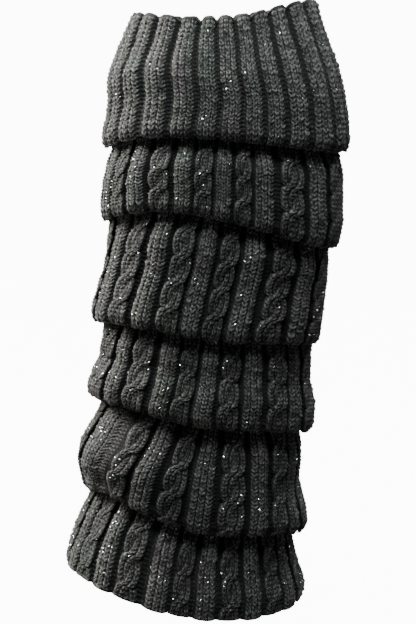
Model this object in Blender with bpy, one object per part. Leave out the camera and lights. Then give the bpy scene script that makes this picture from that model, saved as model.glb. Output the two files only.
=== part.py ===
"""Slouched leg warmer, with the shape it has on a leg.

It is one long knitted tube, pushed down so that it stacks in six overlapping tiers: a deep ribbed
cuff, four folded tiers of cables and ribs, and an open hem tier. The knit runs down the outside of
a tier, turns under at its lip, climbs a short way behind it, turns over and comes down again as the
next tier. Each stretch between two turns is one closed wall, and the walls meet in the hidden turn.

The right side of the knit carries the raised ribs and cables, and the wrong side is plain.
Sizes are in millimetres. +Z is up the leg, +X to the right and the front faces -Y. The origin is on
the leg's axis where the cuff grips, a little below the rim.
"""

from collections import namedtuple

import bmesh
import bpy
import numpy as np

MM = 0.001

# ---- the tube
COLUMNS = 28            # ribs round the cuff; below it every second rib becomes a cable
DEPTH_SHARE = 0.88      # front-to-back size of a tier over its width
RIM_DEPTH_SHARE = 0.96  # the same at the rim, which grips a round leg
FRONT_BUNCHING = 0.06   # how far the columns crowd towards the front and the back, in radians

# ---- the knit
WALL = 1.8              # knit under a valley between two ribs
RETURN_WALL = 1.3       # knit that climbs behind a tier, squeezed by the fold
CUFF_RISE = 2.4         # height of the cuff's ribs over their valleys
BODY_RISE = 2.2         # height of the cables and ribs below the cuff
LIP_RADIUS = 3.0        # outside radius of the turn at a lip
LIP_STRETCH = 0.35      # share of their relief that ribs lose where they turn under
LAYER_GAP = 0.4         # clearance between two layers of the fold
SEAM_GAP = 0.4          # clearance where one stretch meets the next
FOLD_CLIMB = 13.0       # how far the knit climbs behind a lip
NECK_DROP = 0.6         # a tier starts to show this far below the lip above it
RIM_SCALLOP = 2.4       # how far ribs stand past the valleys along the rim
HEM_SCALLOP = 1.2       # the same along the hem

# ---- where each edge lies: heights over the grip, at eight places round the tube
Edge = namedtuple("Edge", "left front_left front front_right right back_right back back_left")
EDGES = (
    Edge(10.5, 13.5, 15.0, 24.5, 26.0, 21.0, 15.0, 11.0),                    # rim
    Edge(-65.0, -54.5, -49.5, -53.0, -57.5, -55.0, -52.0, -57.0),            # cuff's lip
    Edge(-108.5, -96.0, -94.0, -106.0, -113.5, -108.5, -101.0, -103.0),      # lip of tier 2
    Edge(-168.5, -161.5, -163.0, -165.5, -172.0, -169.0, -166.0, -166.0),    # lip of tier 3
    Edge(-213.5, -209.5, -213.5, -218.0, -226.0, -223.0, -217.0, -213.5),    # lip of tier 4
    Edge(-272.0, -266.0, -276.0, -280.0, -289.0, -285.0, -279.0, -273.0),    # lip of tier 5
    Edge(-316.0, -317.5, -325.0, -327.5, -326.5, -324.5, -321.0, -317.0),    # hem
)

# ---- how far a tier reaches to the left and right of the leg's axis, at shares of its height
Section = namedtuple("Section", "share left right")
CUFF_SECTIONS = (
    Section(0.00, 56.2, 49.6),
    Section(0.25, 62.2, 57.8),
    Section(0.50, 67.4, 66.0),
    Section(0.75, 66.3, 72.2),
    Section(1.00, 68.8, 75.6),
)
TIER_2_SECTIONS = (
    Section(0.00, 62.9, 69.4),
    Section(0.25, 65.4, 72.4),
    Section(0.50, 66.6, 73.6),
    Section(0.80, 67.2, 75.0),
    Section(1.00, 67.4, 74.8),
)
TIER_3_SECTIONS = (
    Section(0.00, 61.6, 67.6),
    Section(0.25, 62.8, 68.6),
    Section(0.50, 63.6, 67.8),
    Section(0.80, 67.0, 67.6),
    Section(1.00, 69.2, 67.6),
)
TIER_4_SECTIONS = (
    Section(0.00, 61.4, 61.8),
    Section(0.25, 62.0, 63.2),
    Section(0.50, 62.8, 63.8),
    Section(0.80, 67.0, 67.4),
    Section(1.00, 68.6, 68.2),
)
TIER_5_SECTIONS = (
    Section(0.00, 58.8, 60.4),
    Section(0.30, 64.6, 62.6),
    Section(0.60, 71.6, 63.2),
    Section(0.80, 71.4, 66.0),
    Section(1.00, 68.4, 69.2),
)
HEM_SECTIONS = (
    Section(0.00, 62.4, 60.8),
    Section(0.25, 66.6, 62.4),
    Section(0.50, 70.6, 65.2),
    Section(0.80, 74.4, 70.2),
    Section(1.00, 75.8, 71.2),
)

# ---- the tiers: turn and twist are in columns, and crossings counts the cables' crossings
Tier = namedtuple("Tier", "node sections turn twist crossings")
TIERS = (
    Tier("top_cuff", CUFF_SECTIONS, 0.0, 0.0, 0.0),
    Tier("fold_tier_2", TIER_2_SECTIONS, 0.0, 0.1, 3.0),
    Tier("fold_tier_3", TIER_3_SECTIONS, -0.5, -0.35, 4.0),
    Tier("fold_tier_4", TIER_4_SECTIONS, 0.35, -0.15, 3.0),
    Tier("fold_tier_5", TIER_5_SECTIONS, 0.7, -0.3, 4.0),
    Tier("hem_tier", HEM_SECTIONS, 1.0, -0.2, 3.0),
)
CUFF, HEM = 0, len(TIERS) - 1
CUFF_ROWS = 5           # rings of faces down the cuff
ROWS_PER_CROSSING = 2   # rings of faces for each crossing of a cable

# ---- where the mesh has points across one column, in columns from the column's middle
PLAIN_PLACE = 0.25
CUFF_PLACES = (-0.2, 0.0, 0.2, 0.42, 0.58)
RIB_PLACES = (-0.2, 0.2, 0.42, 0.62)
CABLE_PLACES = (-0.12, 0.12, 0.38, 0.58)
RIB_HALF = 0.42         # half width of a plain rib
RIB_FLAT = 0.2          # half width of its flat top
CABLE_HALF = 0.58       # half width of a cable
STRAND_SWING = 0.38     # how far a cable's strands swing to each side
STRAND_HALF = 0.26      # half width of one strand
CABLE_BED = 0.3         # height between the strands, as a share of the rise
OVER_SHARE = 0.2        # how much lower the strand that passes behind lies

CHARCOAL = (0.022, 0.023, 0.024, 1.0)
YARN_ROUGHNESS = 0.9


def smooth_through(x, xs, ys):
    """Cubic curve through the points (xs, ys); each point's slope comes from its neighbours."""
    x, xs, ys = np.asarray(x, float), np.asarray(xs, float), np.asarray(ys, float)
    slope = np.gradient(ys, xs)
    i = np.clip(np.searchsorted(xs, x) - 1, 0, len(xs) - 2)
    step = xs[i + 1] - xs[i]
    u = np.clip((x - xs[i]) / step, 0.0, 1.0)
    return (
        ys[i] * (1 + 2 * u) * (1 - u) ** 2
        + ys[i + 1] * u * u * (3 - 2 * u)
        + step * u * (1 - u) * (slope[i] * (1 - u) - slope[i + 1] * u)
    )


def edge_height(edge, angle):
    """Height of an edge: the sum of the few waves that pass through its eight named heights."""
    values = np.array(EDGES[edge])
    waves = np.fft.rfft(values) / len(values)
    turn = angle + np.pi / 2
    height = waves[0].real + 0 * angle
    for n in range(1, len(waves)):
        pair = 1 if n == len(values) // 2 else 2
        height = height + pair * (waves[n].real * np.cos(n * turn) - waves[n].imag * np.sin(n * turn))
    return height


def column_angle(column):
    """Angle round the tube of a column number, 0 at the front and growing to the right."""
    even = 2 * np.pi * column / COLUMNS
    return even - FRONT_BUNCHING * np.sin(2 * even)


def place(tier, angle, share, inward, height):
    """Point at a share of a tier's height, moved inward from its crests: an ellipse at each height."""
    shares = [s.share for s in TIERS[tier].sections]
    left = smooth_through(share, shares, [s.left for s in TIERS[tier].sections])
    right = smooth_through(share, shares, [s.right for s in TIERS[tier].sections])
    half = (left + right) / 2
    top = RIM_DEPTH_SHARE if tier == CUFF else DEPTH_SHARE
    depth = half * (top + (DEPTH_SHARE - top) * share)
    x = (right - left) / 2 + (half - inward) * np.sin(angle)
    y = -(depth - inward) * np.cos(angle)
    return np.stack([x, y, height + 0 * angle], axis=-1) * MM


def neck_height(tier, angle):
    """Height where a tier starts to show."""
    return edge_height(tier, angle) - (0.0 if tier == CUFF else NECK_DROP)


def widest_height(tier, angle):
    """Height where a tier is widest, just above the turn of its lip. The hem has no turn."""
    return edge_height(tier + 1, angle) + (0.0 if tier == HEM else LIP_RADIUS)


def on_tier(tier, angle, share, inward):
    """Point on the part of a tier that shows, at a share of its height."""
    high, low = neck_height(tier, angle), widest_height(tier, angle)
    return place(tier, angle, share, inward, high + (low - high) * share)


def by_lip(tier, angle, climb, inward):
    """Point in the fold behind a tier, a climb above the bottom of its lip."""
    high, low = neck_height(tier, angle), widest_height(tier, angle)
    height = edge_height(tier + 1, angle) + climb
    share = np.clip((high - height) / (high - low), 0.0, 1.0)
    return place(tier, angle, share, inward, height)


def strand_rise(across, phase):
    """Height of two strands that swing sideways as a wave and pass over each other in turn."""
    swing = STRAND_SWING * np.cos(phase)
    behind = OVER_SHARE * np.sin(phase)
    first = (1 - np.maximum(behind, 0)) * (1 - ((across - swing) / STRAND_HALF) ** 2)
    second = (1 - np.maximum(-behind, 0)) * (1 - ((across + swing) / STRAND_HALF) ** 2)
    bed = CABLE_BED * (1 - (across / CABLE_HALF) ** 2)
    return np.maximum(np.maximum(first, second), np.maximum(bed, 0.0))


def rib_rise(across, flat, half):
    """Height of a rib: a flat top with sides that fall in a smooth curve."""
    fall = np.clip((np.abs(across) - flat) / (half - flat), 0.0, 1.0)
    return 1 - fall * fall * (3 - 2 * fall)


def relief_columns(tier, share):
    """Column numbers of the points round a ring of the right side, and their heights from 0 to 1."""
    row = TIERS[tier]
    shift = row.turn + row.twist * (share - 0.5)
    first = -round(row.turn)
    columns, rises = [], []
    for column in range(first, first + COLUMNS):
        if tier == CUFF:
            places = np.array(CUFF_PLACES)
            rise = rib_rise(places, CUFF_PLACES[2] / 2, CUFF_PLACES[3])
        elif column % 2 == 0:
            places = np.array(RIB_PLACES)
            rise = rib_rise(places, RIB_FLAT, RIB_HALF)
            rise[-1] = strand_rise(places[-1] - 1, np.pi * row.crossings * share)
        else:
            places = np.array(CABLE_PLACES)
            rise = strand_rise(places, np.pi * row.crossings * share)
        columns.append(column + places + shift)
        rises.append(rise)
    return np.concatenate(columns), np.concatenate(rises)


def right_side(tier, share, turned=0.0, scallop=0.0):
    """Ring of raised knit at a share of a tier's height, or turned that far round its lip."""
    rise = (CUFF_RISE if tier == CUFF else BODY_RISE) * (1 - LIP_STRETCH * np.sin(turned))
    columns, rises = relief_columns(tier, share)
    radius = LIP_RADIUS - rise * (1 - rises)
    ring = on_tier(tier, column_angle(columns), share, LIP_RADIUS - radius * np.cos(turned))
    ring[:, 2] += (scallop * (rises - 0.5) - radius * np.sin(turned)) * MM
    return ring


def plain_angles():
    """Angles of a ring of the wrong side, which has one point for each column."""
    return column_angle(np.arange(COLUMNS) + PLAIN_PLACE)


def hidden_top(tier):
    """The stretch behind the lip above: it turns over the end of that tier's return and drops."""
    above, angle = tier - 1, plain_angles()
    return_outside = 2 * LIP_RADIUS - RETURN_WALL
    outside = 2 * LIP_RADIUS + LAYER_GAP
    inside = outside + WALL
    seam = FOLD_CLIMB + SEAM_GAP
    right = [
        by_lip(above, angle, seam, return_outside),
        by_lip(above, angle, seam, outside),
        by_lip(above, angle, LIP_RADIUS, outside),
    ]
    wrong = [
        by_lip(above, angle, LIP_RADIUS, inside),
        by_lip(above, angle, seam, inside),
        by_lip(above, angle, seam + WALL, outside),
        by_lip(above, angle, seam + WALL, return_outside),
    ]
    return right, wrong


def lip_and_return(tier, wrong_side):
    """The turn under a tier and the short climb behind it, then down again inside the turn."""
    angle = plain_angles()
    return_outside = 2 * LIP_RADIUS - RETURN_WALL
    slit_middle = (wrong_side + return_outside) / 2
    corner = LIP_RADIUS * np.cos(np.pi / 4)
    return [
        by_lip(tier, angle, LIP_RADIUS - corner, LIP_RADIUS + corner),
        by_lip(tier, angle, LIP_RADIUS, 2 * LIP_RADIUS),
        by_lip(tier, angle, FOLD_CLIMB, 2 * LIP_RADIUS),
        by_lip(tier, angle, FOLD_CLIMB, return_outside),
        by_lip(tier, angle, LIP_RADIUS + 1.0, return_outside),
        by_lip(tier, angle, LIP_RADIUS - 0.6, slit_middle),
        by_lip(tier, angle, LIP_RADIUS + 1.0, wrong_side),
        by_lip(tier, angle, FOLD_CLIMB + WALL, wrong_side),
    ]


def tier_rings(tier):
    """All the rings of one wall, in order round its section: down the right side and up the wrong."""
    rows = CUFF_ROWS if tier == CUFF else int(TIERS[tier].crossings * ROWS_PER_CROSSING)
    wrong_side = (CUFF_RISE if tier == CUFF else BODY_RISE) + WALL
    shares = np.linspace(0.0, 1.0, rows + 1)
    right, wrong_top = ([], []) if tier == CUFF else hidden_top(tier)
    for share in shares:
        scallop = 0.0
        if tier == CUFF and share == 0.0:
            scallop = RIM_SCALLOP
        if tier == HEM and share == 1.0:
            scallop = -HEM_SCALLOP
        right.append(right_side(tier, share, scallop=scallop))
    if tier == HEM:
        turn = []
    else:
        right += [right_side(tier, 1.0, turned) for turned in (np.pi / 4, np.pi / 2)]
        turn = lip_and_return(tier, wrong_side)
    wrong_shares = (1.0, 0.5, 0.0) if tier == HEM else (0.35, 0.0)
    wrong = [on_tier(tier, plain_angles(), share, wrong_side) for share in wrong_shares]
    return right + turn + wrong + wrong_top


def bridge(bm, first, second):
    """Faces between two closed rings. Where one has more points, each point of the other fans out."""
    many, few = (first, second) if len(first) >= len(second) else (second, first)
    n, each = len(few), len(many) // len(few)
    for i in range(n):
        group = [many[(i * each + j) % len(many)] for j in range(each + 1)]
        for j in range(each - 1):
            bm.faces.new((few[i], group[j], group[j + 1]))
        bm.faces.new((few[i], group[-2], group[-1], few[(i + 1) % n]))


def build_tier(tier, root):
    """One stretch of the tube as a closed wall, its rings joined in a loop."""
    bm = bmesh.new()
    rings = [[bm.verts.new(point) for point in ring] for ring in tier_rings(tier)]
    for first, second in zip(rings, rings[1:] + rings[:1]):
        bridge(bm, first, second)
    bmesh.ops.recalc_face_normals(bm, faces=bm.faces)
    mesh = bpy.data.meshes.new(TIERS[tier].node)
    bm.to_mesh(mesh)
    bm.free()
    mesh.shade_smooth()
    mesh.materials.append(knit_material(TIERS[tier].node + "_knit"))
    wall = bpy.data.objects.new(TIERS[tier].node, mesh)
    wall.parent = root
    bpy.context.scene.collection.objects.link(wall)


def knit_material(name):
    """Charcoal yarn, dull and fluffy."""
    material = bpy.data.materials.new(name)
    material.use_nodes = True
    shader = material.node_tree.nodes["Principled BSDF"]
    shader.inputs["Base Color"].default_value = CHARCOAL
    shader.inputs["Roughness"].default_value = YARN_ROUGHNESS
    shader.inputs["Metallic"].default_value = 0.0
    return material


def clear_scene():
    """Removes every object that is in the scene."""
    for old in list(bpy.data.objects):
        bpy.data.objects.remove(old)


clear_scene()
leg_axis = bpy.data.objects.new("leg_axis", None)
bpy.context.scene.collection.objects.link(leg_axis)
for number in range(len(TIERS)):
    build_tier(number, leg_axis)
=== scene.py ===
"""Slouched rib and cable leg warmer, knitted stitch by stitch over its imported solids.

The tube is built as it is worn: a ribbed cuff, four folds of cables and ribs and an open hem, each with
its rows of stitches, then the silver thread that runs along with the yarn, and its loose fibres.
Sizes of the knit are in millimetres. +Z is up the leg, +X to the right and the front faces -Y.
"""

from collections import defaultdict, namedtuple

import bpy
import numpy as np
from mathutils import Matrix, Vector


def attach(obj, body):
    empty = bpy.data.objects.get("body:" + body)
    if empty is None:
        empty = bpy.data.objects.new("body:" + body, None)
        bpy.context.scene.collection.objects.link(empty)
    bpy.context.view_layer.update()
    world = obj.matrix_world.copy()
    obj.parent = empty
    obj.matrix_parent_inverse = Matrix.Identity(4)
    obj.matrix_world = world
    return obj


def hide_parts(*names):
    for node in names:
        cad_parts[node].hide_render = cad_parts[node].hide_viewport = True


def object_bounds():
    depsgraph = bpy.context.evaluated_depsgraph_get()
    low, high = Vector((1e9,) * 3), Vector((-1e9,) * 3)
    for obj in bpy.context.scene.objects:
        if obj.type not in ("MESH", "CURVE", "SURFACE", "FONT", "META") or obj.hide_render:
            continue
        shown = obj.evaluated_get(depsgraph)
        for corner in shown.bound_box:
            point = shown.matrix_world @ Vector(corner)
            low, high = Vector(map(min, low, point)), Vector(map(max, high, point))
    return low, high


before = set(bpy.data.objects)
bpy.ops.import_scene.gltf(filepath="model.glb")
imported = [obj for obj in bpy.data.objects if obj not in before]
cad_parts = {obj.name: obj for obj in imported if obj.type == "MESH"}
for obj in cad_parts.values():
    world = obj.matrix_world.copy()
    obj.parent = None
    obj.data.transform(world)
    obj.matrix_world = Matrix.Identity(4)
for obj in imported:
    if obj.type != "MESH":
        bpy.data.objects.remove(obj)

MM = 0.001
solid_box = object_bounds()


# =====================================================================================================
# Top cuff. The ribbed end that grips the calf: three knit stitches and a purl valley in turn, in thick
# charcoal yarn, with a bound-off rim at the top. It is the start of the tube, and turns under at its lip.
# =====================================================================================================

# An edge has a height at eight places round the tube. A reach is how far a stretch stands out to the left and
# to the right at a share of its height. A pull is a column, the place that it is worn to, and how far it
# moves on from the top of the stretch to its lip.
Edge = namedtuple("Edge", "left front_left front front_right right back_right back back_left")
Reach = namedtuple("Reach", "share left right")
Pull = namedtuple("Pull", "column place slant", defaults=(0.0,))

# A stretch hangs from the one above it, between two edges. All its columns are turned, and twist on the way
# down, by a part of a column; hang is 1 where they hang straight, and spread is the share of their depth
# that its valleys lose at the bottom.
Stretch = namedtuple(
    "Stretch", "node above upper lower reaches rows turn twist crossings pulls seed hang spread",
    defaults=(0.0, 0.0))

RIM = Edge(10.5, 13.5, 15.0, 24.5, 26.0, 19.0, 11.5, 8.5)
CUFF_LIP = Edge(-65.0, -54.5, -49.5, -53.0, -57.5, -55.0, -52.0, -57.0)
CUFF = Stretch(
    "top_cuff", None, RIM, CUFF_LIP,
    (Reach(0.00, 56.2, 49.6), Reach(0.25, 62.2, 57.8), Reach(0.50, 67.4, 66.0),
     Reach(0.75, 66.3, 72.2), Reach(1.00, 68.8, 75.6)),
    rows=26, turn=0.0, twist=0.0, crossings=0.0, seed=11, spread=0.35,
    pulls=(Pull(-6, -6.4), Pull(-4, -4.4), Pull(-3, -3.1), Pull(-2, -1.85), Pull(0, 0.15), Pull(3, 2.95),
           Pull(5, 5.4)),
)

COLUMNS = 28            # ribs round the cuff
DEPTH_SHARE = 0.88      # front-to-back size of the tube over its width
RIM_DEPTH_SHARE = 0.96  # the same at the rim, which grips a round leg
FRONT_BUNCHING = 0.06   # how far the columns crowd towards the front and the back, in radians

ROW = 2.45              # height of one row of stitches where the knit turns at a lip
LINES = 3               # lines of points for each row
CHEVRON = 0.8           # how far a stitch's legs drop from its sides to its middle, in rows
STITCH_RISE = 1.25      # from the groove between two stitches to the top of their yarn
STITCH_SINK = 0.65      # how much of that lies under the form of the solid
PURL_HEIGHTS = (0.0, 1.0, 0.85)                     # along one row of a purl valley: groove, arc, arc
PURL_RISE = 0.9         # height of its bars
PURL_SINK = 0.3         # how much of that lies under the form of the solid
PURL_ENDS = 0.15        # height of a bar at its ends, as a share of its middle's
PURL_SHADE = 0.15       # painted shade: how pale the bars are painted in a narrow valley, where little light reaches them
VALLEY_SHADE_FADE = 4.5       # how much their painted shade fades for each share of its depth that the valley loses
WALE_PLACES = (0.0, 0.13, 0.32, 0.5, 0.68, 0.87)    # across one column of stitches
WALE_HEIGHTS = (0.0, 0.80, 1.0, 0.66, 1.0, 0.80)    # its two legs with the groove between them
LINE_HEIGHTS = (0.35, 1.0, 0.85)                    # along one leg, from one row to the next
STITCH_SIZES = 0.18     # how unlike the stitches are, as a share of their height
FOOT_LIGHT = 0.35       # painted shade: how pale a stitch at the foot of a rib is painted, as a share of one at its top
HIGH_CREST = 0.62       # crests over this are high points, which carry thread and fibres
PLAIN_CREST = 0.3       # how pale the wrong side and the turns are

WANDER = 0.07           # how far the columns wander to the sides, in columns
UNREST = 0.9            # how far the knit swells and sinks
UNREST_SHIFT = 9        # columns between the waves of the two, so that they don't meet
RIB_RISE = 3.6          # from a purl valley to the top of a rib
RIB_SIZES = 0.07        # how unlike the ribs are, as a share of their height
TALLEST_RIB = 1.12      # no rib is taller than this share of RIB_RISE
RIB_EDGE = 0.38         # half width of a rib's three stitches, in columns
RIB_HALF = 0.465        # half width of a rib at its foot
LIP_RADIUS = 3.0        # half the thickness of the fold at a lip
LIP_HEIGHT = 8.0        # a wall starts to turn in this far above the bottom of its lip
LIP_BOTTOM = 4.5        # inward place of the bottom of a lip
LIP_ARC = 5.6           # radius of a round turn of the same length
LIP_STRETCH = 0.45      # share of their height that ribs lose in the turn
CREASE_TOP = 1.0        # where the crease behind a lip starts, over the middle of the fold
CREASE_BOTTOM = -0.6    # where it ends
WALL_BACK = 4.2         # from the top of a rib to the wrong side of the knit
DEEPEST = 3.5           # no valley lies deeper than this, so the knit keeps its thickness there
WRONG_RISE = 1.3        # height of the ribs on the wrong side, which lie behind the valleys
WRONG_MIDDLE = 0.7      # share of a rib's height at which the wrong side lies at WALL_BACK
WRONG_BARS = 0.35       # height of its bars
WRONG_STEP = 0.75       # rows from one line of it to the next
RETURN_BACK = 4.7       # inward place of the wrong side of the knit that climbs behind a lip
FOLD_CLIMB = 13.0       # how far it climbs
HEAD_THICKNESS = 1.8    # thickness of the next stretch's head, which lies over it
HEAD_GAP = 0.4          # gap between the two
NECK_DROP = 0.6         # a stretch starts to show this far below the lip above it
BEHIND_LIP = 6.4        # inward place, from the stretch above, of the knit that hangs behind its lip
NECK_CLIMB = 3.6        # height over which the knit swings in behind the lip
NECK_SINK = 3.0         # how much deeper a fold lies at the front and the back where it starts to show
NECK_LENGTH = 15.0      # height over which it swells out from there
SCALLOP_ROWS = 3.5      # rows over which ribs spread to their rounded ends
RIM_SCALLOP = 2.6       # how far the ribs stand past the valleys at the rim
RIM_ROUND = ((0.0, 3.4), (0.45, 2.6), (0.6, 1.5), (0.4, 0.6))   # rows up and inward places of its rounding
RIM_FLATTER = 0.5       # share of the ribs' height that is left there
SHOWN_INSIDE = 14       # rows of the wrong side that show from above or below
HIDDEN_INSIDE = 19.0    # the row further down the cuff where its wrong side starts


def smooth_through(x, xs, ys):
    """Cubic curve through the points (xs, ys); each point's slope comes from its neighbours."""
    x, xs, ys = np.asarray(x, float), np.asarray(xs, float), np.asarray(ys, float)
    slope = np.gradient(ys, xs)
    i = np.clip(np.searchsorted(xs, x) - 1, 0, len(xs) - 2)
    step = xs[i + 1] - xs[i]
    u = np.clip((x - xs[i]) / step, 0.0, 1.0)
    return (
        ys[i] * (1 + 2 * u) * (1 - u) ** 2
        + ys[i + 1] * u * u * (3 - 2 * u)
        + step * u * (1 - u) * (slope[i] * (1 - u) - slope[i + 1] * u)
    )


def ease(x):
    """0 below 0, 1 above 1 and a smooth step, 3x2 - 2x3, between them."""
    x = np.clip(x, 0.0, 1.0)
    return x * x * (3 - 2 * x)


def edge_height(edge, angle):
    """Height of an edge: the sum of the few waves that pass through its eight named heights."""
    waves = np.fft.rfft(edge) / len(edge)
    turn = angle + np.pi / 2
    height = waves[0].real + 0 * angle
    for n in range(1, len(waves)):
        pair = 1 if n == len(edge) // 2 else 2
        height = height + pair * (waves[n].real * np.cos(n * turn) - waves[n].imag * np.sin(n * turn))
    return height


def column_angle(column):
    """Angle round the tube of a column number, 0 at the front and growing to the right."""
    even = 2 * np.pi * column / COLUMNS
    return even - FRONT_BUNCHING * np.sin(2 * even)


def reach_at(stretch, share):
    """How far a stretch reaches to the left and to the right at a share of its height."""
    shares = [r.share for r in stretch.reaches]
    left = smooth_through(share, shares, [r.left for r in stretch.reaches])
    right = smooth_through(share, shares, [r.right for r in stretch.reaches])
    return left, right


def place(stretch, angle, share, inward, height):
    """Point at a share of a stretch's height, moved inward from its crests: an ellipse at each height."""
    left, right = reach_at(stretch, share)
    half = (left + right) / 2
    top = DEPTH_SHARE if stretch.above else RIM_DEPTH_SHARE
    depth = half * (top + (DEPTH_SHARE - top) * share)
    x = (right - left) / 2 + (half - inward) * np.sin(angle)
    y = -(depth - inward) * np.cos(angle)
    return np.stack(np.broadcast_arrays(x, y, height), axis=-1)


def shown_ends(stretch, angle):
    """Heights where a stretch starts to show and where its lip starts to turn. The hem has no lip."""
    top = edge_height(stretch.upper, angle) - (NECK_DROP if stretch.above else 0.0)
    low = edge_height(stretch.lower, angle) + (0.0 if stretch.node == "hem_tier" else LIP_HEIGHT)
    return top, low


def behind_lip(stretch, angle, climb, inward):
    """Point in the fold behind a stretch, a climb above the bottom of its lip."""
    top, low = shown_ends(stretch, angle)
    height = edge_height(stretch.lower, angle) + climb
    share = np.clip((top - height) / (top - low), 0.0, 1.0)
    return place(stretch, angle, share, inward, height)


def pulled(stretch, column, share):
    """Where wear has pulled a column to: a smooth curve through the few columns that a stretch names.

    A second curve gives their slants, so each moves on evenly from the top of the stretch to its lip.
    """
    half = COLUMNS / 2
    near = (column + half) % COLUMNS - half
    columns = [-half, *(p.column for p in stretch.pulls), half]
    places = smooth_through(near, columns, [-half, *(p.place for p in stretch.pulls), half])
    slants = smooth_through(near, columns, [0.0, *(p.slant for p in stretch.pulls), 0.0])
    return places + slants * (share - 0.5) + column - near


def on_knit(stretch, column, row, sink):
    """Point of the knit at a column and a row, sunk below the crests of its ribs.

    From row 0 to the stretch's last row it runs down the wall. Further rows turn round the lip on two
    quarters of ellipses, LIP_HEIGHT high less the sink, which meet at LIP_BOTTOM. Rows under 0 climb, and
    swing in behind the lip above. A fold starts deeper by NECK_SINK times the cosine of its angle. Where a
    stretch hangs straight, its columns don't move aside with its middle at the front and the back.
    """
    share = np.clip(row / stretch.rows, 0.0, 1.0)
    worn = pulled(stretch, column, share) + soft_waves(stretch, column, row, WANDER)
    angle = column_angle(worn + stretch.turn + stretch.twist * (share - 0.5))
    left, right = reach_at(stretch, share)
    angle = angle - stretch.hang * (right - left) / (right + left) * np.cos(angle)
    top, low = shown_ends(stretch, angle)
    turned = np.clip((row - stretch.rows) * ROW / LIP_ARC, 0.0, np.pi)
    sunk = sink * (1 - LIP_STRETCH * np.sin(turned))
    climb = np.clip(-row, 0.0, None) * ROW
    height = top + climb + (low - top) * share - (LIP_HEIGHT - sunk) * np.sin(turned)
    wide = np.where(turned < np.pi / 2, LIP_BOTTOM - sunk, 2 * LIP_RADIUS - LIP_BOTTOM)
    inward = LIP_BOTTOM - wide * np.cos(turned)
    if stretch.above is None:
        return place(stretch, angle, share, inward, height)
    swelling = ease((top - low) * share / NECK_LENGTH)
    point = place(stretch, angle, share, inward + NECK_SINK * np.abs(np.cos(angle)) * (1 - swelling), height)
    hidden = behind_lip(stretch.above, angle, climb - NECK_DROP, BEHIND_LIP + sink)
    swung = ease(climb / NECK_CLIMB)[..., None]
    return point * (1 - swung) + hidden * swung


def soft_waves(stretch, column, row, size, waves=5):
    """Slow, uneven unrest over the knit: a sum of seeded waves round the tube and down its rows."""
    rng = np.random.default_rng(stretch.seed)
    unrest = 0.0
    for _ in range(waves):
        round_tube = rng.integers(1, 7) * 2 * np.pi / COLUMNS
        down_rows = rng.uniform(0.1, 0.55)
        phase = rng.uniform(0, 2 * np.pi)
        unrest = unrest + np.sin(column * round_tube + row * down_rows + phase)
    return size * unrest / waves


# Points in a line across the knit: where they lie, how high the yarn is there, how far its row drops, the
# number of the stitch, and how pale a purl bar is painted, its painted shade, which is 0 on knit stitches.
Across = namedtuple("Across", "column height chevron stitch purl")


def wales(left, right, count):
    """Knit stitches side by side between two columns, each with two legs and a groove between them."""
    fraction = np.tile(WALE_PLACES, count)
    number = np.repeat(np.arange(count), len(WALE_PLACES))
    column = left + (number + fraction) * (right - left) / count
    height, chevron = np.tile(WALE_HEIGHTS, count), np.abs(2 * fraction - 1)
    return Across(column, height, chevron, number + fraction, 0 * column)


def purl(left, right, points, count, shade=PURL_SHADE):
    """Purl stitches between two columns: points evenly across them, with no legs and no chevrons."""
    across = np.arange(points) / points
    column = left + across * (right - left)
    return Across(column, 0 * column, 0 * column + 1, across * count, 0 * column + shade)


def side_by_side(groups):
    """Joins groups of points across the knit into one round, and numbers their stitches on."""
    starts = np.cumsum([0] + [int(np.floor(g.stitch[-1])) + 1 for g in groups])
    numbered = [g._replace(stitch=g.stitch + start) for g, start in zip(groups, starts)]
    return Across(*(np.concatenate(values) for values in zip(*numbered))), int(starts[-1])


def rib_form(place_in_column):
    """Height of a rib over its valleys: 1 less the cube of the distance from its middle."""
    return np.clip(1 - np.abs(place_in_column / RIB_HALF) ** 3, 0.0, 1.0)


def each_size(stretch, count, spread, salt):
    """A seeded list of sizes near 1, as no two ribs or stitches are pulled alike."""
    return 1 + spread * np.random.default_rng([stretch.seed, salt]).standard_normal(count)


def fine_rows(stretch):
    """Row numbers of the lines that carry stitches, three to a row, on the side that shows."""
    first = -1 if stretch.above else 0
    last = stretch.rows + (0 if stretch.node == "hem_tier" else 3)
    return np.arange(first * LINES, last * LINES + 1) / LINES


def chevron_fade(lines):
    """1 along the knit, falling to 0 over the first and the last row, whose lines run straight."""
    return ease(lines - lines[0]) * ease(lines[-1] - lines)


def outward(points):
    """Unit normals of a grid closed round its columns: its way down crossed with its way to the right."""
    down = np.gradient(points, axis=0)
    right = np.roll(points, -1, axis=1) - np.roll(points, 1, axis=1)
    normal = np.cross(down, right)
    return normal / np.linalg.norm(normal, axis=-1, keepdims=True)


# A side of the knit is a grid of points with the crest (the yarn's height, which also sets its painted
# shade), column, stitch number and row of each, and the height of the rib that it lies on.
Side = namedtuple("Side", "points crest column stitch lines full")


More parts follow.
